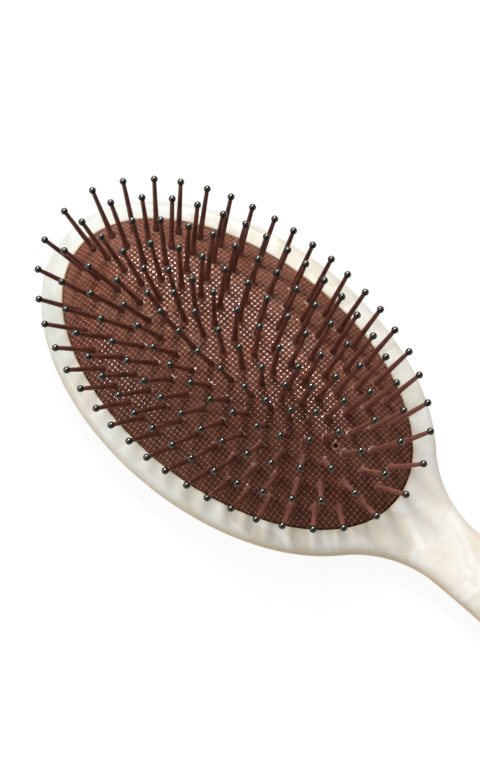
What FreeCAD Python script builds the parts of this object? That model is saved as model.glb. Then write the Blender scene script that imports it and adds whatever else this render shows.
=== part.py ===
"""Detangling brush: an acetate body, a hollow rubber cushion in its pocket, and ball-tipped pins.

Millimetres. The origin is on the flat back, under the centre of the cushion. +X points along the
handle, +Z is the side that the pins stand on, and the toe is the end of the head away from the handle.
"""
import FreeCAD, Part
import math
import os

V = FreeCAD.Vector
UP = V(0, 0, 1)

# Body: one plate of acetate
overall_length = 238.0
body_thickness = 8.5
rim_width = 5.9
neck_width = 16.2
neck_flare_radius = 29.5
handle_width = 23.0
handle_end_length = 15.0
handle_parallel_length = 22.0
front_edge_radius = 2.8
back_edge_radius = 5.4
edge_flat = 0.3

# Pocket in the head, with its undercut groove
pad_length = 104.0
pad_width = 59.6
pocket_depth = 5.6
mouth_edge_radius = 0.4
groove_below_face = 1.6
groove_height = 1.8
groove_reach = 1.6
seat_clearance = 0.1

# Rubber cushion
dome_height = 8.3
rubber_thickness = 1.8
crest_length = 32.0
dome_length_power = 0.745
dome_height_power = 2.7
crown_shares = (1.0, 0.93, 0.845, 0.76, 0.66, 0.56, 0.47, 0.38, 0.30, 0.22, 0.15, 0.09, 0.05)
vent_diameter = 1.3

# Rings of pins, outermost first: each ring's half width as a share of the pad's half width
ring_shares = (0.837, 0.655, 0.466, 0.296, 0.143)
ring_crowding_shares = (0.03, 0.01, -0.02, -0.06, -0.15)
outer_ring_pins = 42
fewer_pins_each_ring = 6
centre_row_pins = 6
half_end_share = 0.1

# Pins, measured from the rubber's outer face
pin_reach = 14.9
neck_diameter = 1.3
collar_diameter = 2.0
collar_height = 1.5
collar_gap = 0.38
shaft_root_diameter = 1.4
shaft_end_diameter = 1.06
foot_diameter = 2.4
foot_height = 0.8
foot_gap = 0.45
hole_clearance = 0.05
bead_diameter = 1.8
end_lean_slope = 0.78
side_lean_slope = 0.69
side_lean_turn = 1.94
lean_scatter_slope = 0.014
scatter_turn = math.radians(137.5)

overrun = 1.0
quarter_round_share = 0.5523

# Worked out from the sizes above
rim_z = body_thickness
half_pad = pad_length / 2
half_pad_width = pad_width / 2
head_length = pad_length + 2 * rim_width
head_width = pad_width + 2 * rim_width
half_crest = crest_length / 2
groove_top_z = rim_z - groove_below_face
groove_floor_z = groove_top_z - groove_height
pocket_floor_z = rim_z - pocket_depth


def ellipse_wire(half_length, half_width, z):
    return Part.Wire(Part.Ellipse(V(0, 0, z), half_length, half_width).toShape())


def oval_plate(half_length, half_width, low_z, high_z):
    face = Part.Face(ellipse_wire(half_length, half_width, low_z))
    return face.extrude(V(0, 0, high_z - low_z))


def export(name, shapes):
    shape = shapes[0] if len(shapes) == 1 else Part.makeCompound(shapes)
    shape.exportStep("parts/" + name + ".step")
    print(name, len(shape.Solids), "solids", round(shape.Volume, 1), "mm3")


# Outline of the body: the head's ellipse, a concave flare, the handle's side and its round end

def on_head(angle, side):
    return V(head_length / 2 * math.cos(angle), side * head_width / 2 * math.sin(angle), 0)


def head_normal(angle, side):
    across = V(math.cos(angle) / head_length, side * math.sin(angle) / head_width, 0)
    return across.normalize()


def flare_start_angle():
    """The angle on the head's ellipse where the flare leaves it, so that it ends level with the neck."""
    low, high = 0.0, math.pi / 2
    for _ in range(60):
        middle = (low + high) / 2
        centre = on_head(middle, 1) + head_normal(middle, 1) * neck_flare_radius
        if centre.y < neck_width / 2 + neck_flare_radius:
            low = middle
        else:
            high = middle
    return (low + high) / 2


def side_edges(side):
    """The flare and the handle's side, from the head to the handle's end, on one side."""
    angle = flare_start_angle()
    start = on_head(angle, side)
    centre = start + head_normal(angle, side) * neck_flare_radius
    flare_end = V(centre.x, side * neck_width / 2, 0)
    toward_middle = ((start - centre).normalize() + (flare_end - centre).normalize()).normalize()
    flare = Part.Arc(start, centre + toward_middle * neck_flare_radius, flare_end)

    handle_end_x = overall_length - head_length / 2
    widest = V(handle_end_x - handle_end_length, side * handle_width / 2, 0)
    swell_end = V(widest.x - handle_parallel_length, widest.y, 0)
    reach = V((swell_end.x - flare_end.x) / 2, 0, 0)
    swell = Part.BezierCurve()
    swell.setPoles([flare_end, flare_end + reach, swell_end - reach, swell_end])
    parallel = Part.LineSegment(swell_end, widest)

    tip = V(handle_end_x, 0, 0)
    along = V(handle_end_length * quarter_round_share, 0, 0)
    across = V(0, widest.y * quarter_round_share, 0)
    round_end = Part.BezierCurve()
    round_end.setPoles([widest, widest + along, tip + across, tip])
    return [curve.toShape() for curve in (flare, swell, parallel, round_end)]


def body_outline():
    angle = flare_start_angle()
    head = Part.Ellipse(V(0, 0, 0), head_length / 2, head_width / 2)
    edges = [head.toShape(angle, 2 * math.pi - angle)]
    edges += side_edges(1) + side_edges(-1)
    return Part.Wire(Part.__sortEdges__(edges))


def make_body():
    plate = Part.Face(body_outline()).extrude(V(0, 0, body_thickness))
    back = [e for e in plate.Edges if e.BoundBox.ZMax < overrun]
    back_radius = min(back_edge_radius, body_thickness - front_edge_radius - edge_flat)
    plate = plate.makeFillet(back_radius, back)
    front = [e for e in plate.Edges if e.BoundBox.ZMin > body_thickness - overrun]
    plate = plate.makeFillet(front_edge_radius, front)
    pocket = oval_plate(half_pad, half_pad_width, pocket_floor_z, rim_z + overrun)
    groove = oval_plate(half_pad + groove_reach, half_pad_width + groove_reach, groove_floor_z, groove_top_z)
    body = plate.cut(pocket).cut(groove)
    mouth = [e for e in body.Edges if abs(e.BoundBox.ZMin - rim_z) < seat_clearance
             and abs(e.BoundBox.XLength - pad_length) < seat_clearance]
    return body.makeFillet(mouth_edge_radius, mouth)


# The dome is a nest of ovals: an oval's half width is a share of the pad's, and its height follows

def oval_sizes(share, half_length, half_width):
    length = half_crest + (half_length - half_crest) * share ** dome_length_power
    return length, half_width * share


def dome_rise(share, height):
    return height * (1 - share ** dome_height_power)


def share_at(x, y, half_length, half_width):
    """The share of the oval that passes through a point."""
    low, high = 0.0, 1.5
    for _ in range(40):
        share = (low + high) / 2
        length, width = oval_sizes(share, half_length, half_width)
        if (x / length) ** 2 + (y / width) ** 2 > 1:
            low = share
        else:
            high = share
    return (low + high) / 2


def dome_solid(half_length, half_width, height):
    wires = []
    for share in crown_shares:
        length, width = oval_sizes(share, half_length, half_width)
        wires.append(ellipse_wire(length, width, rim_z + dome_rise(share, height)))
    return Part.makeLoft(wires, True, False)


outer_sizes = (half_pad - seat_clearance, half_pad_width - seat_clearance)
inner_sizes = (outer_sizes[0] - rubber_thickness, outer_sizes[1] - rubber_thickness)
inner_height = dome_height - rubber_thickness


def make_cushion(pins):
    lip_low = groove_floor_z + seat_clearance
    lip_high = groove_top_z - seat_clearance
    lip_reach = groove_reach
    skirt = oval_plate(*outer_sizes, lip_low, rim_z)
    lip = oval_plate(outer_sizes[0] + lip_reach, outer_sizes[1] + lip_reach, lip_low, lip_high)
    outside = skirt.fuse(lip).fuse(dome_solid(*outer_sizes, dome_height))
    inside = oval_plate(*inner_sizes, lip_low - overrun, rim_z)
    inside = inside.fuse(dome_solid(*inner_sizes, inner_height))
    holes = [pin_hole(pin) for pin in pins]
    holes.append(vent_hole())
    return outside.cut(inside).cut(holes)


def vent_hole():
    """The vent is on the long axis, midway between the heel pins of the third and fourth rings."""
    third = oval_sizes(ring_shares[2], half_pad, half_pad_width)[0]
    fourth = oval_sizes(ring_shares[3], half_pad, half_pad_width)[0]
    place = V((third + fourth) / 2, 0, rim_z)
    return Part.makeCylinder(vent_diameter / 2, dome_height + overrun, place, UP)


# Places of the pins

def ring_places(ring):
    """Points spaced along a ring's oval, from the toe over the right side to the heel and back."""
    length, width = oval_sizes(ring_shares[ring], half_pad, half_pad_width)
    count = outer_ring_pins - fewer_pins_each_ring * ring
    steps = 1440
    points = []
    travelled = [0.0]
    for i in range(steps + 1):
        turn = 2 * math.pi * i / steps
        points.append(V(-length * math.cos(turn), width * math.sin(turn), 0))
        if i:
            travelled.append(travelled[-1] + (points[i] - points[i - 1]).Length)
    places = []
    i = 0
    for number in range(count):
        turn = number / count
        crowding = ring_crowding_shares[ring] * math.sin(4 * math.pi * turn) / (4 * math.pi)
        target = (turn + crowding) * travelled[-1]
        while travelled[i + 1] < target:
            i += 1
        part_way = (target - travelled[i]) / (travelled[i + 1] - travelled[i])
        places.append(points[i] + (points[i + 1] - points[i]) * part_way)
    return places


def row_places():
    pitch = crest_length / (centre_row_pins - 1)
    return [V(-half_crest + pitch * i, 0, 0) for i in range(centre_row_pins)]


def lean(place, number):
    """The way a pin points: it fans outward towards the rim, with a little scatter from moulding."""
    along = place.x / half_pad
    across = place.y / half_pad_width
    slope_x = end_lean_slope * (along + along ** 3) / 2
    slope_y = side_lean_slope * math.sin(side_lean_turn * across)
    slope_x += lean_scatter_slope * math.cos(scatter_turn * number)
    slope_y += lean_scatter_slope * math.sin(scatter_turn * number)
    return V(slope_x, slope_y, 1).normalize()


def under_rubber(base, way):
    """How far down its own line a pin meets the rubber's inner face, as a negative length."""
    low, high = -4 * rubber_thickness, 0.0
    for _ in range(40):
        middle = (low + high) / 2
        point = base + way * middle
        share = share_at(point.x, point.y, *inner_sizes)
        if point.z < rim_z + dome_rise(share, inner_height):
            low = middle
        else:
            high = middle
    return (low + high) / 2


def pin_at(place, share, number):
    base = V(place.x, place.y, rim_z + dome_rise(share, dome_height))
    way = lean(place, number)
    return {"base": base, "way": way, "under": under_rubber(base, way)}


def set_up(shape, pin):
    shape.Placement = FreeCAD.Placement(pin["base"], FreeCAD.Rotation(UP, pin["way"]))
    return shape


def pin_hole(pin):
    radius = neck_diameter / 2 + hole_clearance
    low = pin["under"] - overrun
    return set_up(Part.makeCylinder(radius, overrun * 2 - pin["under"], V(0, 0, low), UP), pin)


def bead_setback():
    """From a pin's flat end to the centre of the bead that covers it."""
    return math.sqrt(bead_diameter ** 2 - shaft_end_diameter ** 2) / 2


def make_pin(pin):
    foot_top = pin["under"] - foot_gap
    foot = foot_diameter / 2
    neck = neck_diameter / 2
    collar = collar_diameter / 2
    root = shaft_root_diameter / 2
    collar_top = collar_gap + collar_height
    bulge = V((collar + root) / 2 + (collar - root) / 4, 0, (collar_gap + collar_top) / 2)
    corners = [V(0, 0, foot_top - foot_height), V(foot, 0, foot_top - foot_height), V(foot, 0, foot_top),
               V(neck, 0, foot_top), V(neck, 0, collar_gap), V(collar, 0, collar_gap)]
    top = [V(root, 0, collar_top), V(shaft_end_diameter / 2, 0, pin_reach - bead_setback()),
           V(0, 0, pin_reach - bead_setback()), corners[0]]
    edges = [Part.LineSegment(a, b).toShape() for a, b in zip(corners, corners[1:])]
    edges.append(Part.Arc(corners[-1], bulge, top[0]).toShape())
    edges += [Part.LineSegment(a, b).toShape() for a, b in zip(top, top[1:])]
    profile = Part.Face(Part.Wire(edges))
    return set_up(profile.revolve(V(0, 0, 0), UP, 360), pin)


def make_bead(pin):
    radius = bead_diameter / 2
    cut_angle = -math.degrees(math.asin(bead_setback() / radius))
    ball = Part.makeSphere(radius, V(0, 0, pin_reach), UP, cut_angle, 90, 360)
    return set_up(ball, pin)


def ring_sectors(count):
    """Which pins of a ring stand at its toe, right side, heel and left side."""
    reach = round(count * half_end_share)
    half = count // 2
    toe = [i % count for i in range(-reach, reach + 1)]
    right = list(range(reach + 1, half - reach))
    heel = list(range(half - reach, half + reach + 1))
    left = list(range(half + reach + 1, count - reach))
    return {"toe": toe, "right": right, "heel": heel, "left": left}


def pin_groups():
    groups = {}
    number = 0
    for ring, share in enumerate(ring_shares):
        places = ring_places(ring)
        pins = [pin_at(place, share, number + i) for i, place in enumerate(places)]
        number += len(pins)
        for sector, indices in ring_sectors(len(pins)).items():
            groups["ring_%d_%s" % (ring + 1, sector)] = [pins[i] for i in indices]
    groups["centre_row"] = [pin_at(place, 0.0, number + i) for i, place in enumerate(row_places())]
    return groups


os.makedirs("parts", exist_ok=True)
groups = pin_groups()
export("acetate_body", [make_body()])
export("rubber_cushion", [make_cushion([pin for pins in groups.values() for pin in pins])])
for group, pins in groups.items():
    export(group + "_pins", [make_pin(pin) for pin in pins])
    export(group + "_beads", [make_bead(pin) for pin in pins])
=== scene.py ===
"""Looks of the detangling brush: pearl acetate, a moulded rubber cushion, nylon pins and their bead tips.

Metres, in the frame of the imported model: the flat back lies on z = 0, +X runs along the handle.
"""
import math

import bmesh
import bpy
import numpy as np
from mathutils import Matrix, Vector


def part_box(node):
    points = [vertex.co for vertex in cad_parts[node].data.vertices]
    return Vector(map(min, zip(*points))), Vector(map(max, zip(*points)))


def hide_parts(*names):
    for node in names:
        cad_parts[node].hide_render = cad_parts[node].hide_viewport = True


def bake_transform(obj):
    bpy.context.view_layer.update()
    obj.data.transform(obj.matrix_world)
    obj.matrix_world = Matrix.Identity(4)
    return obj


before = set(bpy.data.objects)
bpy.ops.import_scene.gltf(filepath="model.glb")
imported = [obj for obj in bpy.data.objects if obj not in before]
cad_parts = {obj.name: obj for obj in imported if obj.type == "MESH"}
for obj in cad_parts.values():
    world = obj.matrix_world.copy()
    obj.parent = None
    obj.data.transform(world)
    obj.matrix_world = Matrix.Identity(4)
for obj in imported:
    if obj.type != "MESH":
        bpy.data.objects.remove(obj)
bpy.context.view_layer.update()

mm = 0.001

# The body is one plate of pearl cellulose acetate, sawn to shape, tumbled round at its edges and polished.
# Mother-of-pearl flakes settle in folded clouds while the sheet is cast, so it is patchy all through.
# Its sawn side is tan, partly its own ground and partly painted shade, most of all at the neck and on the
# left side, and a honey band of painted warm light from the cushion runs round the pocket.

rim_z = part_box("acetate_body")[1].z
pad_low, pad_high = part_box("rubber_cushion")
lip_reach = 1.6 * mm
pad_half_length = pad_high.x - lip_reach
pad_half_width = pad_high.y - lip_reach

place_in_sheet = (230 * mm, 50 * mm, 0.0)
stir_scale = 0.7
layer_scale = 0.6
tint_scale = 0.35
noise_spread = (0.3, 0.7)
broad_folds = {"Fold Size": 24 * mm, "Stir": 1.6, "Folds": 5.0}
small_folds = {"Fold Size": 7 * mm, "Stir": 2.0, "Folds": 4.0}
broad_sheen_share = 0.75
small_sheen_share = 0.45
rise_end_share = 0.86
crease_start_share = 0.84
silk_lines_per_fold = 7.0
silk_shade_share = 0.75

ivory = (0.79, 0.73, 0.60, 1)
cream = (0.86, 0.79, 0.67, 1)
cream_start_x = 0.55 * pad_half_length
cream_full_x = 1.3 * pad_half_length
milk = (1.0, 0.985, 0.925, 1)
sage = (0.78, 0.83, 0.75, 1)
sage_share = 0.30
peach = (0.88, 0.74, 0.58, 1)
peach_share = 0.3
peach_start = 0.4
mist = (0.66, 0.72, 0.69, 1)
mist_share = 0.6
mist_start_x = -0.3 * pad_half_length
mist_full_x = -1.0 * pad_half_length
tan = (0.84, 0.63, 0.39, 1)
tan_toe_share = 0.45
tan_neck_share = 0.92
painted_shade_right_share = 0.4
painted_shade_left_to_right = (-0.2, 0.5)
tan_level_to_steep = (1.0, 0.35)
tan_full_z = 0.68 * rim_z
honey_glow = (0.92, 0.74, 0.51, 1)
honey_share = 0.8
honey_band_share = 0.035

acetate_grain = 0.4 * mm
acetate_smudge = 9 * mm
acetate_roughness = (0.32, 0.44)
acetate_depth = 3 * mm


def new_material(name):
    """A material with its node tree, its Principled shader and the place on the object in metres."""
    material = bpy.data.materials.new(name)
    material.use_nodes = True
    tree = material.node_tree
    place = tree.nodes.new("ShaderNodeTexCoord").outputs["Object"]
    return material, tree, tree.nodes["Principled BSDF"], place


def new_group(name, inputs, outputs):
    """A shader node group; inputs and outputs are (label, kind) pairs."""
    tree = bpy.data.node_groups.new(name, "ShaderNodeTree")
    for way, sockets in (("INPUT", inputs), ("OUTPUT", outputs)):
        for label, kind in sockets:
            tree.interface.new_socket(label, in_out=way, socket_type="NodeSocket" + kind)
    return tree, tree.nodes.new("NodeGroupInput").outputs, tree.nodes.new("NodeGroupOutput").inputs


def add(tree, kind, feeds=(), **settings):
    """Adds a node; feeds are (socket, value or another node's output) pairs."""
    node = tree.nodes.new("ShaderNode" + kind)
    for key, value in settings.items():
        setattr(node, key, value)
    for socket, value in dict(feeds).items():
        if isinstance(value, bpy.types.NodeSocket):
            tree.links.new(value, node.inputs[socket])
        else:
            node.inputs[socket].default_value = value
    return node


def calc(tree, operation, *values):
    return add(tree, "Math", enumerate(values), operation=operation).outputs[0]


def product(tree, first, *others):
    for other in others:
        first = calc(tree, "MULTIPLY", first, other)
    return first


def vector_calc(tree, operation, *values, out="Vector"):
    return add(tree, "VectorMath", enumerate(values), operation=operation).outputs[out]


def scaled(tree, vector, factor):
    return add(tree, "VectorMath", {0: vector, "Scale": factor}, operation="SCALE").outputs["Vector"]


def ramp(tree, value, low, high, low_out=0.0, high_out=1.0):
    """Smoothly takes value from low..high to low_out..high_out."""
    feeds = {"Value": value, "From Min": low, "From Max": high, "To Min": low_out, "To Max": high_out}
    return add(tree, "MapRange", feeds, interpolation_type="SMOOTHSTEP").outputs[0]


def between(tree, mask, low, high):
    """Smoothly goes from low to high where a mask goes from 0 to 1."""
    return ramp(tree, mask, 0.0, 1.0, low, high)


def mix_colour(tree, share, first, second):
    return add(tree, "Mix", {0: share, 6: first, 7: second}, data_type="RGBA").outputs[2]


def noise(tree, place, scale, detail=2.0, roughness=0.5):
    feeds = {"Vector": place, "Scale": scale, "Detail": detail, "Roughness": roughness}
    return add(tree, "TexNoise", feeds).outputs


def pearl_fold_group():
    """Folds of pearl flakes: each brightens in silky lines up to its crease, and its tint drifts."""
    tree, given, made = new_group(
        "Pearl folds", [("Place", "Vector"), ("Fold Size", "Float"), ("Stir", "Float"), ("Folds", "Float")],
        [("Sheen", "Float"), ("Drift", "Float")])
    sized = scaled(tree, given["Place"], calc(tree, "DIVIDE", 1.0, given["Fold Size"]))
    stir = vector_calc(tree, "SUBTRACT", noise(tree, sized, stir_scale)["Color"], (0.5, 0.5, 0.5))
    stirred = vector_calc(tree, "ADD", sized, scaled(tree, stir, given["Stir"]))
    stacked = product(tree, noise(tree, stirred, layer_scale, detail=1.0)[0], given["Folds"])
    across_fold = calc(tree, "FRACT", stacked)
    rise = ramp(tree, across_fold, 0.0, rise_end_share)
    crease = ramp(tree, across_fold, crease_start_share, 1.0, 1.0, 0.0)
    silk = calc(tree, "PINGPONG", product(tree, stacked, silk_lines_per_fold), 1.0)
    tree.links.new(product(tree, rise, crease, between(tree, silk, silk_shade_share, 1.0)), made["Sheen"])
    tint = noise(tree, stirred, tint_scale, detail=1.0)["Color"]
    drift = add(tree, "SeparateColor", {"Color": tint}).outputs[1]
    tree.links.new(ramp(tree, drift, *noise_spread), made["Drift"])
    return tree


def handling_group():
    """The slight unevenness of every finish here: a mask of soft smudges and one of fine grain."""
    tree, given, made = new_group(
        "Handling", [("Place", "Vector"), ("Grain Size", "Float"), ("Smudge Size", "Float")],
        [("Smudge", "Float"), ("Grain", "Float")])
    for label, detail in (("Smudge", 3.0), ("Grain", 2.0)):
        scale = calc(tree, "DIVIDE", 1.0, given[label + " Size"])
        spots = noise(tree, given["Place"], scale, detail, roughness=0.6)
        tree.links.new(ramp(tree, spots[0], *noise_spread), made[label])
    return tree


def pad_oval_group():
    """How far out of the pad's middle a place lies, as a share: 1 is the edge of the cushion's face."""
    tree, given, made = new_group("Pad oval", [("Place", "Vector")], [("Share", "Float")])
    shares = vector_calc(tree, "MULTIPLY", given["Place"], (1 / pad_half_length, 1 / pad_half_width, 0.0))
    tree.links.new(vector_calc(tree, "LENGTH", shares, out="Value"), made["Share"])
    return tree


pearl_folds = pearl_fold_group()
handling = handling_group()
pad_oval = pad_oval_group()


def handled(tree, place, grain_size, smudge_size):
    """The handling marks of one material, at its own sizes."""
    feeds = {"Place": place, "Grain Size": grain_size, "Smudge Size": smudge_size}
    return add(tree, "Group", feeds, node_tree=handling).outputs


def pad_share(tree, place):
    return add(tree, "Group", {"Place": place}, node_tree=pad_oval).outputs["Share"]


def set_finish(shader, values):
    """Sets what is the same all over a surface, on the shader's own sockets."""
    for label, value in values.items():
        shader.inputs[label].default_value = value


def pearl_acetate():
    material, tree, shader, place = new_material("Pearl acetate")
    in_sheet = vector_calc(tree, "ADD", place, place_in_sheet)
    broad = add(tree, "Group", {"Place": in_sheet, **broad_folds}, node_tree=pearl_folds).outputs
    small = add(tree, "Group", {"Place": in_sheet, **small_folds}, node_tree=pearl_folds).outputs
    sheen = calc(tree, "ADD", product(tree, broad["Sheen"], broad_sheen_share),
                 product(tree, small["Sheen"], small_sheen_share))
    across = add(tree, "SeparateXYZ", {0: place}).outputs
    ground = mix_colour(tree, ramp(tree, across["X"], cream_start_x, cream_full_x), ivory, cream)
    colour = mix_colour(tree, sheen, ground, milk)
    colour = mix_colour(tree, product(tree, broad["Drift"], sage_share), colour, sage)
    colour = mix_colour(tree, ramp(tree, small["Drift"], peach_start, 1.0, 0.0, peach_share), colour, peach)
    near_toe = ramp(tree, across["X"], mist_start_x, mist_full_x, 0.0, mist_share)
    colour = mix_colour(tree, near_toe, colour, mist)
    facing = add(tree, "SeparateXYZ", {0: add(tree, "NewGeometry").outputs["Normal"]}).outputs
    # The steep sawn sides turn tan, partly their own tint and partly painted shade, painted stronger on the
    # left side than the right.
    sawn_tint_and_shade = product(
        tree,
        ramp(tree, calc(tree, "ABSOLUTE", facing["Z"]), *tan_level_to_steep),
        ramp(tree, across["X"], -pad_half_length, pad_half_length, tan_toe_share, tan_neck_share),
        ramp(tree, facing["Y"], *painted_shade_left_to_right, 1.0, painted_shade_right_share),
        ramp(tree, across["Z"], rim_z, tan_full_z))
    colour = mix_colour(tree, sawn_tint_and_shade, colour, tan)
    # Painted light: a honey band round the pocket stands in for warm light from the cushion, shining through
    # the thin lip and bouncing onto the rim.
    painted_glow_round_pocket = ramp(tree, pad_share(tree, place), 1.0, 1.0 + honey_band_share, honey_share, 0.0)
    colour = mix_colour(tree, painted_glow_round_pocket, colour, honey_glow)
    tree.links.new(colour, shader.inputs["Base Color"])
    marks = handled(tree, place, acetate_grain, acetate_smudge)
    tree.links.new(between(tree, marks["Smudge"], *acetate_roughness), shader.inputs["Roughness"])
    set_finish(shader, {
        "Specular IOR Level": 0.04, "Coat Weight": 0.12, "Coat Roughness": 0.12, "Coat IOR": 1.48,
        "Subsurface Weight": 0.15, "Subsurface Radius": (1.0, 0.7, 0.45), "Subsurface Scale": acetate_depth})
    return material


def dress(node, material):
    """Puts one material on a CAD node, in place of its plain one."""
    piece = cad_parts[node]
    piece.data.materials.clear()
    piece.data.materials.append(material)


dress("acetate_body", pearl_acetate())

# The cushion is a thin shell of moulded rubber, sprung into the groove of the pocket by its lip.
# Its face is moulded with a fine woven grid, left smooth in a small star round each pin and the vent.
# The threads are painted broader, in a lit-side brown, towards the toe and the right where the key lamp
# falls; their knuckles get painted pale highlights and gloss.

lip_low = pad_low.z
lip_height = 1.6 * mm
dome_height = pad_high.z - rim_z
half_crest = 16 * mm
length_power = 0.745
height_power = 2.7
rubber_thickness = 1.8 * mm
inner_shares = (1.0, 0.93, 0.8, 0.6, 0.4, 0.2, 0.05)

thread_pitch = 1.09 * mm
steps_per_pitch = 4
thread_relief_shares = (1.0, 0.0, 0.5, 0.0)
edge_relief_share = 0.2
relief_depth = 0.24 * mm
star_reach = 1.65 * mm
star_power = 0.8
vent_x = 33.5 * mm
vent_radius = 0.65 * mm
vent_depth = 1.5 * mm

weld_gap = 0.001 * mm
pin_search = 20 * mm
far_share = 9.0
widest_share = 1.5
cut_rounds = 12

# Painted shade: the near-black colour of the hollows between threads and of the line at the cushion's edge.
painted_pit_shade = (0.004, 0.0015, 0.001, 1)
shade_side_brown = (0.42, 0.125, 0.069, 1)
lit_side_brown = (0.275, 0.085, 0.047, 1)
rubbed = (0.30, 0.13, 0.090, 1)
# A pale colour used for the painted highlights on the knuckles and for random dust smudges.
dust_and_highlight_pale = (0.76, 0.47, 0.35, 1)
# Painted light: the side facing the key lamp, towards the toe and the right, gets broader threads in a
# lit-side brown.
lit_side_way = (-0.7 / pad_half_length, 0.7 / pad_half_width, 0.0)
lit_side_range_shares = (-0.45, 0.35)
shade_side_crest_shares = (0.66, 0.99)
lit_side_crest_shares = (0.20, 0.60)
low_thread_share = 0.5
knuckle_range = (1.1, 2.0)
knuckle_highlight_shares = (0.75, 0.5)
knuckle_gloss_shares = (1.0, 0.7)
knuckle_rise_share = 0.6
star_edge_shares = (0.35, 0.65)
star_gloss_share = 0.25
dust_share = 0.15
edge_line_shares = (0.990, 0.998)
edge_shade_share = 0.7

rubber_grain = 0.12 * mm
rubber_smudge = 11 * mm
rubber_grain_share = 0.1
rubber_roughness = (0.60, 0.35)
rubber_bump = 0.34 * mm


def oval_sizes(share, length, width):
    """Half sizes of the dome's level line, a share of the way out to a pad of these half sizes."""
    return half_crest + (length - half_crest) * share ** length_power, width * share


def where_it_ends(holds, low, high, rounds=30):
    """Halves the way from low, where the test holds, to high, where it fails, down to where it ends."""
    for _ in range(rounds):
        middle = (low + high) / 2
        held = holds(middle)
        low = np.where(held, middle, low)
        high = np.where(held, high, middle)
    return low


def shares_at(x, y):
    """The share of the pad's oval that passes through each point of the plane."""

    def is_outside(share):
        length, width = oval_sizes(share, pad_half_length, pad_half_width)
        return (x / length) ** 2 + (y / width) ** 2 > 1

    return where_it_ends(is_outside, np.zeros_like(x), np.full_like(x, widest_share))


def face_height(x, y):
    return rim_z + dome_height * (1 - shares_at(x, y) ** height_power)


def solids_of(node):
    """The separate solids in a CAD node, each as an array of its corners."""
    mesh = bmesh.new()
    mesh.from_mesh(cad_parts[node].data)
    bmesh.ops.remove_doubles(mesh, verts=mesh.verts, dist=weld_gap)
    solids = []
    waiting = set(mesh.verts)
    while waiting:
        found = [waiting.pop()]
        for vertex in found:
            for edge in vertex.link_edges:
                other = edge.other_vert(vertex)
                if other in waiting:
                    waiting.remove(other)
                    found.append(other)
        solids.append(np.array([vertex.co for vertex in found], float))
    mesh.free()
    return solids


def pin_root(corners):
    """Where the axis of a pin with these corners meets the cushion's face."""
    middle = corners.mean(0)
    axis = np.linalg.svd(corners - middle, full_matrices=False)[2][0]
    axis *= np.sign(axis[2])

    def is_under_face(along):
        x, y, z = middle + axis * along
        return z < face_height(np.array([x]), np.array([y]))[0]

    return (middle + axis * where_it_ends(is_under_face, -pin_search, pin_search))[:2]


def pin_roots():
    pin_nodes = sorted(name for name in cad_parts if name.endswith("_pins"))
    return [pin_root(corners) for name in pin_nodes for corners in solids_of(name)]


def star_shares(x, y, centres):
    """How far out of the nearest smooth star each point lies: under 1 is inside it."""
    nearest = np.full(x.shape, far_share)
    for cx, cy in centres:
        close = (abs(x - cx) < star_reach) & (abs(y - cy) < star_reach)
        u = abs(x[close] - cx + y[close] - cy) / math.sqrt(2)
        v = abs(x[close] - cx - y[close] + cy) / math.sqrt(2)
        reach = ((u / star_reach) ** star_power + (v / star_reach) ** star_power) ** (1 / star_power)
        nearest[close] = np.minimum(nearest[close], reach)
    return nearest


def has_rubber(x, y):
    """True on the cushion's face, false past its edge and in the vent."""
    inside_edge = (x / pad_half_length) ** 2 + (y / pad_half_width) ** 2 < 1
    outside_vent = (x - vent_x) ** 2 + y ** 2 > vent_radius ** 2
    return inside_edge & outside_vent


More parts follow.
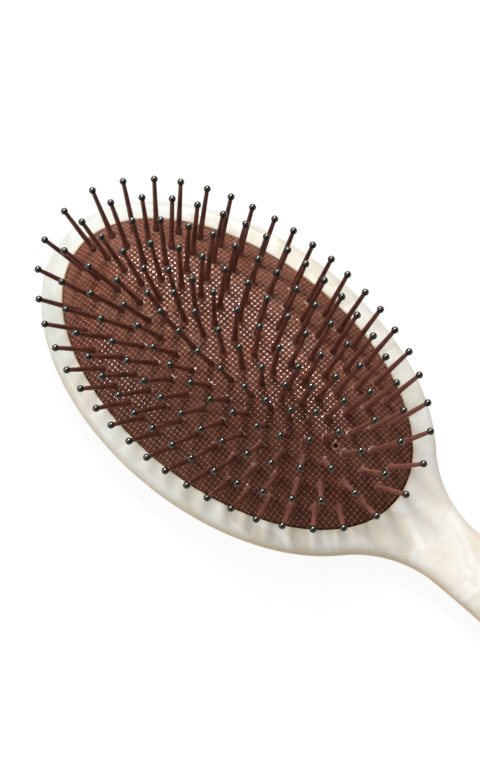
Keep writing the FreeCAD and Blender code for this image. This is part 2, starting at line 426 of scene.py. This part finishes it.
def woven_face():
    """The face as a grid of threads, cut at the edge and the vent.

    Gives its points, how much of a star each is in, its faces, and its loops of points at each cut.
    """
    step = thread_pitch / steps_per_pitch
    reach_x = math.ceil(pad_half_length / step)
    reach_y = math.ceil(pad_half_width / step)
    columns = np.arange(-reach_x, reach_x + 1)
    rows = np.arange(-reach_y, reach_y + 1)
    column, row = np.meshgrid(columns, rows, indexing="ij")
    x, y = column * step, row * step
    thread = np.array(thread_relief_shares)
    woven = (thread[column % steps_per_pitch] + thread[row % steps_per_pitch]) / 2
    smooth = star_shares(x, y, [*pin_roots(), (vent_x, 0.0)]) < 1
    woven = np.where(smooth, 1.0, woven)
    inside = has_rubber(x, y)

    places, reliefs, stars, faces = [], [], [], []
    numbers = {}
    loops = {"edge": [], "vent": []}

    def corner(i, j):
        """The number of a grid corner's point."""
        if (i, j) not in numbers:
            numbers[i, j] = len(places)
            places.append((x[i, j], y[i, j]))
            reliefs.append(woven[i, j])
            stars.append(float(smooth[i, j]))
        return numbers[i, j]

    def crossing(inner, outer):
        """The number of the point between two grid corners where the rubber ends."""
        if (inner, outer) not in numbers:
            start = np.array((x[inner], y[inner]))
            way = np.array((x[outer], y[outer])) - start
            share = where_it_ends(lambda part: has_rubber(*(start + way * part)), 0.0, 1.0, cut_rounds)
            place = start + way * share
            in_vent = abs(place[0] - vent_x) < 2 * vent_radius and abs(place[1]) < 2 * vent_radius
            numbers[inner, outer] = len(places)
            loops["vent" if in_vent else "edge"].append(len(places))
            places.append(tuple(place))
            reliefs.append(1.0 if in_vent else edge_relief_share)
            stars.append(float(in_vent))
        return numbers[inner, outer]

    for i in range(2 * reach_x):
        for j in range(2 * reach_y):
            square = [(i, j), (i + 1, j), (i + 1, j + 1), (i, j + 1)]
            kept = [inside[c] for c in square]
            if all(kept):
                a, b, c, d = (corner(*s) for s in square)
                if (column[i, j] + row[i, j]) % 2:
                    faces += [(a, b, d), (b, c, d)]
                else:
                    faces += [(a, b, c), (a, c, d)]
            elif any(kept):
                outline = []
                for here, after in zip(square, square[1:] + square[:1]):
                    if inside[here]:
                        outline.append(corner(*here))
                        if not inside[after]:
                            outline.append(crossing(here, after))
                    elif inside[after]:
                        outline.append(crossing(after, here))
                if len(outline) > 2:
                    faces.append(tuple(outline))

    across, along = np.array(places).T
    heights = face_height(across, along) - relief_depth * (1 - np.array(reliefs))
    return list(zip(across, along, heights)), stars, faces, loops


def cushion_mesh():
    """The woven face, the lip and the hollow back of the shell, and the blind vent."""
    points, stars, faces, loops = woven_face()

    def ring(loop, z, widen=(1, 1)):
        """Copies a loop of points to another height, widened about the middle."""
        first = len(points)
        points.extend((points[n][0] * widen[0], points[n][1] * widen[1], z) for n in loop)
        return list(range(first, len(points)))

    def join(upper, lower):
        for k in range(len(upper)):
            after = (k + 1) % len(upper)
            faces.append((upper[k], lower[k], lower[after], upper[after]))

    def turn_of(n):
        return math.atan2(points[n][1] / pad_half_width, points[n][0] / pad_half_length)

    edge = sorted(loops["edge"], key=turn_of)
    outward = 1 + lip_reach / pad_half_length, 1 + lip_reach / pad_half_width
    inner_length = pad_half_length - rubber_thickness
    inner_width = pad_half_width - rubber_thickness
    inward = inner_length / pad_half_length, inner_width / pad_half_width
    lip_top = lip_low + lip_height
    rings = [edge, ring(edge, lip_top), ring(edge, lip_top, outward), ring(edge, lip_low, outward),
             ring(edge, lip_low, inward)]
    for share in inner_shares:
        length, width = oval_sizes(share, inner_length, inner_width)
        height = rim_z + (dome_height - rubber_thickness) * (1 - share ** height_power)
        rings.append(ring(edge, height, (length / pad_half_length, width / pad_half_width)))
    for upper, lower in zip(rings, rings[1:]):
        join(upper, lower)
    faces.append(tuple(rings[-1]))

    hole = sorted(loops["vent"], key=lambda n: -math.atan2(points[n][1], points[n][0] - vent_x))
    bottom = ring(hole, min(points[n][2] for n in hole) - vent_depth)
    join(hole, bottom)
    faces.append(tuple(bottom))

    mesh = bpy.data.meshes.new("cushion")
    mesh.from_pydata(points, [], faces)
    stars += [1.0] * (len(points) - len(stars))
    mesh.attributes.new("star", "FLOAT", "POINT").data.foreach_set("value", np.array(stars, np.float32))
    mesh.shade_smooth()
    mesh.update()
    return mesh


def weave_lines(tree, along, broad):
    """For one direction of threads: its wave, and a mask of the threads, weaker where they pass under."""
    wave = calc(tree, "COSINE", product(tree, along, 2 * math.pi / thread_pitch))
    # The crests widen with the painted lit-side mask.
    foot, top = (between(tree, broad, *shares) for shares in zip(shade_side_crest_shares, lit_side_crest_shares))
    crest = ramp(tree, calc(tree, "ABSOLUTE", wave), foot, top)
    return wave, product(tree, crest, ramp(tree, wave, -1.0, 1.0, low_thread_share, 1.0))


def woven_rubber():
    material, tree, shader, place = new_material("Woven rubber")
    marks = handled(tree, place, rubber_grain, rubber_smudge)
    across = add(tree, "SeparateXYZ", {0: place}).outputs
    # Painted light: a mask towards the key lamp's side widens the threads and swaps in the lit-side brown.
    broad = ramp(tree, vector_calc(tree, "DOT_PRODUCT", place, lit_side_way, out="Value"), *lit_side_range_shares)
    wave_x, lines_x = weave_lines(tree, across["X"], broad)
    wave_y, lines_y = weave_lines(tree, across["Y"], broad)
    star = add(tree, "Attribute", attribute_name="star").outputs["Fac"]
    smooth = ramp(tree, star, *star_edge_shares)
    raised = calc(tree, "MAXIMUM", calc(tree, "MAXIMUM", lines_x, lines_y), smooth)
    knuckle = product(tree, ramp(tree, calc(tree, "ADD", wave_x, wave_y), *knuckle_range),
                      calc(tree, "SUBTRACT", 1.0, smooth))
    thread = mix_colour(tree, broad, shade_side_brown, lit_side_brown)
    colour = mix_colour(tree, raised, painted_pit_shade, mix_colour(tree, smooth, thread, rubbed))
    # Painted highlight: the knuckles are painted pale, less so on the lit side; the same pale colour marks
    # the dust smudges below.
    painted_highlight_share = product(tree, knuckle, between(tree, broad, *knuckle_highlight_shares))
    colour = mix_colour(tree, painted_highlight_share, colour, dust_and_highlight_pale)
    colour = mix_colour(tree, product(tree, marks["Smudge"], raised, dust_share), colour, dust_and_highlight_pale)
    # Painted shadow: a dark line along the cushion's edge where it meets the pocket.
    painted_edge_shadow = ramp(tree, pad_share(tree, place), *edge_line_shares, 0.0, edge_shade_share)
    colour = mix_colour(tree, painted_edge_shadow, colour, painted_pit_shade)
    tree.links.new(colour, shader.inputs["Base Color"])
    tree.links.new(between(tree, smooth, *rubber_roughness), shader.inputs["Roughness"])
    gloss = calc(tree, "ADD", product(tree, knuckle, between(tree, broad, *knuckle_gloss_shares)),
                 product(tree, smooth, star_gloss_share))
    tree.links.new(between(tree, gloss, 0.0, 1.0), shader.inputs["Coat Weight"])
    set_finish(shader, {"Specular IOR Level": 0.12, "Coat Roughness": 0.15, "Coat IOR": 1.7})
    height = calc(tree, "ADD", raised, product(tree, knuckle, knuckle_rise_share))
    height = calc(tree, "ADD", height, product(tree, marks["Grain"], rubber_grain_share))
    bump = add(tree, "Bump", {"Strength": 1.0, "Distance": rubber_bump, "Height": height})
    tree.links.new(bump.outputs[0], shader.inputs["Normal"])
    return material


cushion = bpy.data.objects.new("cushion", cushion_mesh())
bpy.context.scene.collection.objects.link(cushion)
cushion.data.materials.append(woven_rubber())
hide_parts("rubber_cushion")
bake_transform(cushion)

# The pins are moulded nylon, pushed through the rubber from inside until the foot catches.
# Above the face each has a thicker collar, then a shaft that tapers to the bead.
# The brown is uneven along them, and painted paler at the handle's end of the pad, as light falls there.

dark_brown = (0.085, 0.026, 0.017, 1)
light_brown = (0.20, 0.060, 0.038, 1)
painted_lit_brown = (0.30, 0.112, 0.080, 1)
pale_share = 0.6
pale_start_x = 0.3 * pad_half_length
pale_full_x = 0.9 * pad_half_length
nylon_grain = 0.25 * mm
nylon_smudge = 3 * mm
nylon_roughness = (0.34, 0.46)
nylon_bump = 0.02 * mm


def brown_nylon():
    material, tree, shader, place = new_material("Brown nylon")
    marks = handled(tree, place, nylon_grain, nylon_smudge)
    colour = mix_colour(tree, marks["Smudge"], dark_brown, light_brown)
    lengthwise = add(tree, "SeparateXYZ", {0: place}).outputs["X"]
    # Painted light: pins towards the handle's end get a paler, lit brown.
    painted_light_near_handle = ramp(tree, lengthwise, pale_start_x, pale_full_x, 0.0, pale_share)
    colour = mix_colour(tree, painted_light_near_handle, colour, painted_lit_brown)
    tree.links.new(colour, shader.inputs["Base Color"])
    tree.links.new(between(tree, marks["Grain"], *nylon_roughness), shader.inputs["Roughness"])
    set_finish(shader, {"Coat Weight": 0.22, "Coat Roughness": 0.3, "Coat IOR": 1.6})
    bump = add(tree, "Bump", {"Strength": 0.2, "Distance": nylon_bump, "Height": marks["Grain"]})
    tree.links.new(bump.outputs[0], shader.inputs["Normal"])
    return material


nylon = brown_nylon()
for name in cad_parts:
    if name.endswith("_pins"):
        dress(name, nylon)

# Each pin's end is dipped in resin, which draws up into a hard glossy bead.
# It is near black and faintly olive, and it mirrors the room.

bead_black = (0.010, 0.010, 0.007, 1)
bead_olive = (0.024, 0.023, 0.015, 1)
bead_grain = 0.3 * mm
bead_smudge = 2 * mm
bead_roughness = (0.02, 0.06)


def bead_resin():
    material, tree, shader, place = new_material("Bead resin")
    marks = handled(tree, place, bead_grain, bead_smudge)
    colour = mix_colour(tree, marks["Smudge"], bead_black, bead_olive)
    tree.links.new(colour, shader.inputs["Base Color"])
    tree.links.new(between(tree, marks["Grain"], *bead_roughness), shader.inputs["Roughness"])
    set_finish(shader, {"IOR": 1.6, "Specular Tint": (1.0, 0.96, 0.87, 1)})
    return material


resin = bead_resin()
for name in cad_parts:
    if name.endswith("_beads"):
        dress(name, resin)

# The studio: a white sheet in a white room, with a key panel above the toe's right side, a weaker panel
# above its left side and a faint one on the handle's side.
# Only reflections see the room grow dark overhead, with a bright window behind each of the two main panels.

floor_size = 6.0
floor_drop = 0.1 * mm
sheet_grey = (0.6, 0.6, 0.6, 1)
sheet_roughness = 0.9
sheet_glow = 1.12
sheet_glow_share = 0.8

key_way = Vector((-0.44, 0.42, 0.79)).normalized()
left_way = Vector((-0.50, -0.52, 0.69)).normalized()
handle_way = Vector((0.62, 0.19, 0.79)).normalized()
# Each panel's name, its way from the cushion, its distance, its side and its power.
panels = (("key", key_way, 1.0, 0.26, 6.4), ("left strip", left_way, 1.2, 0.3, 4.6),
          ("right strip", handle_way, 1.2, 0.3, 0.4))

ambient = 0.30
dark_ceiling = 0.06
wall_top = 0.25
windows = ((key_way, 26.0), (left_way, 3.0))
window_edge = math.cos(math.radians(22))
window_pane = math.cos(math.radians(15))

camera_place = Vector((158.49, -121.0, 573.48)) * mm
camera_right = Vector((0.74212, 0.66729, -0.06304))
camera_up = Vector((-0.61886, 0.71829, 0.31792))
view_height_angle = math.radians(18.423)
sensor_size = 36.0


def rays_that_see(tree):
    """A mask of the camera's own rays, and one of all that show the room: camera, gloss and glass rays."""
    ray = add(tree, "LightPath").outputs
    shown = calc(tree, "MAXIMUM", ray["Is Camera Ray"], ray["Is Glossy Ray"])
    return ray["Is Camera Ray"], calc(tree, "MAXIMUM", shown, ray["Is Transmission Ray"])


def white_sheet():
    material, tree, shader, _ = new_material("White sheet")
    set_finish(shader, {"Base Color": sheet_grey, "Roughness": sheet_roughness})
    seen = rays_that_see(tree)[1]
    glow = add(tree, "Emission", {"Strength": sheet_glow})
    feeds = {0: product(tree, seen, sheet_glow_share), 1: shader.outputs[0], 2: glow.outputs[0]}
    shown = add(tree, "MixShader", feeds)
    tree.links.new(shown.outputs[0], tree.nodes["Material Output"].inputs["Surface"])
    return material


def panel(name, way, distance, size, power):
    """A square soft panel that looks at the middle of the cushion."""
    light = bpy.data.lights.new(name, "AREA")
    light.size = size
    light.energy = power
    lamp = bpy.data.objects.new(name, light)
    lamp.location = Vector((0, 0, rim_z)) + way * distance
    lamp.rotation_euler = way.to_track_quat("Z", "Y").to_euler()
    bpy.context.scene.collection.objects.link(lamp)


def white_room():
    world = bpy.data.worlds.new("white room")
    world.use_nodes = True
    tree = world.node_tree
    camera_ray, seen = rays_that_see(tree)
    way = add(tree, "TexCoord").outputs["Generated"]
    height = add(tree, "SeparateXYZ", {0: way}).outputs["Z"]
    mirrored = calc(tree, "MAXIMUM", ramp(tree, height, 0.0, wall_top, 1.0, dark_ceiling), camera_ray)
    for window_way, brightness in windows:
        nearness = vector_calc(tree, "DOT_PRODUCT", way, tuple(window_way), out="Value")
        window = ramp(tree, nearness, window_edge, window_pane, 0.0, brightness)
        mirrored = calc(tree, "MAXIMUM", mirrored, window)
    strength = add(tree, "MapRange", {"Value": seen, "To Min": ambient, "To Max": mirrored}).outputs[0]
    background = tree.nodes["Background"].inputs
    tree.links.new(strength, background["Strength"])
    background["Color"].default_value = (1, 1, 1, 1)
    return world


floor_mesh = bpy.data.meshes.new("floor")
floor_corners = [(sx * floor_size / 2, sy * floor_size / 2, -floor_drop)
                 for sx, sy in ((-1, -1), (1, -1), (1, 1), (-1, 1))]
floor_mesh.from_pydata(floor_corners, [], [(0, 1, 2, 3)])
floor_mesh.materials.append(white_sheet())
floor = bpy.data.objects.new("floor", floor_mesh)
bpy.context.scene.collection.objects.link(floor)

for facts in panels:
    panel(*facts)
bpy.context.scene.world = white_room()

lens = bpy.data.cameras.new("camera")
lens.sensor_fit = "VERTICAL"
lens.sensor_height = sensor_size
lens.sensor_width = sensor_size
lens.angle = view_height_angle
camera = bpy.data.objects.new("camera", lens)
turn = Matrix((camera_right, camera_up, camera_right.cross(camera_up))).transposed()
camera.matrix_world = Matrix.Translation(camera_place) @ turn.to_4x4()
bpy.context.scene.collection.objects.link(camera)
bpy.context.scene.camera = camera
bpy.context.scene.view_settings.view_transform = "Standard"
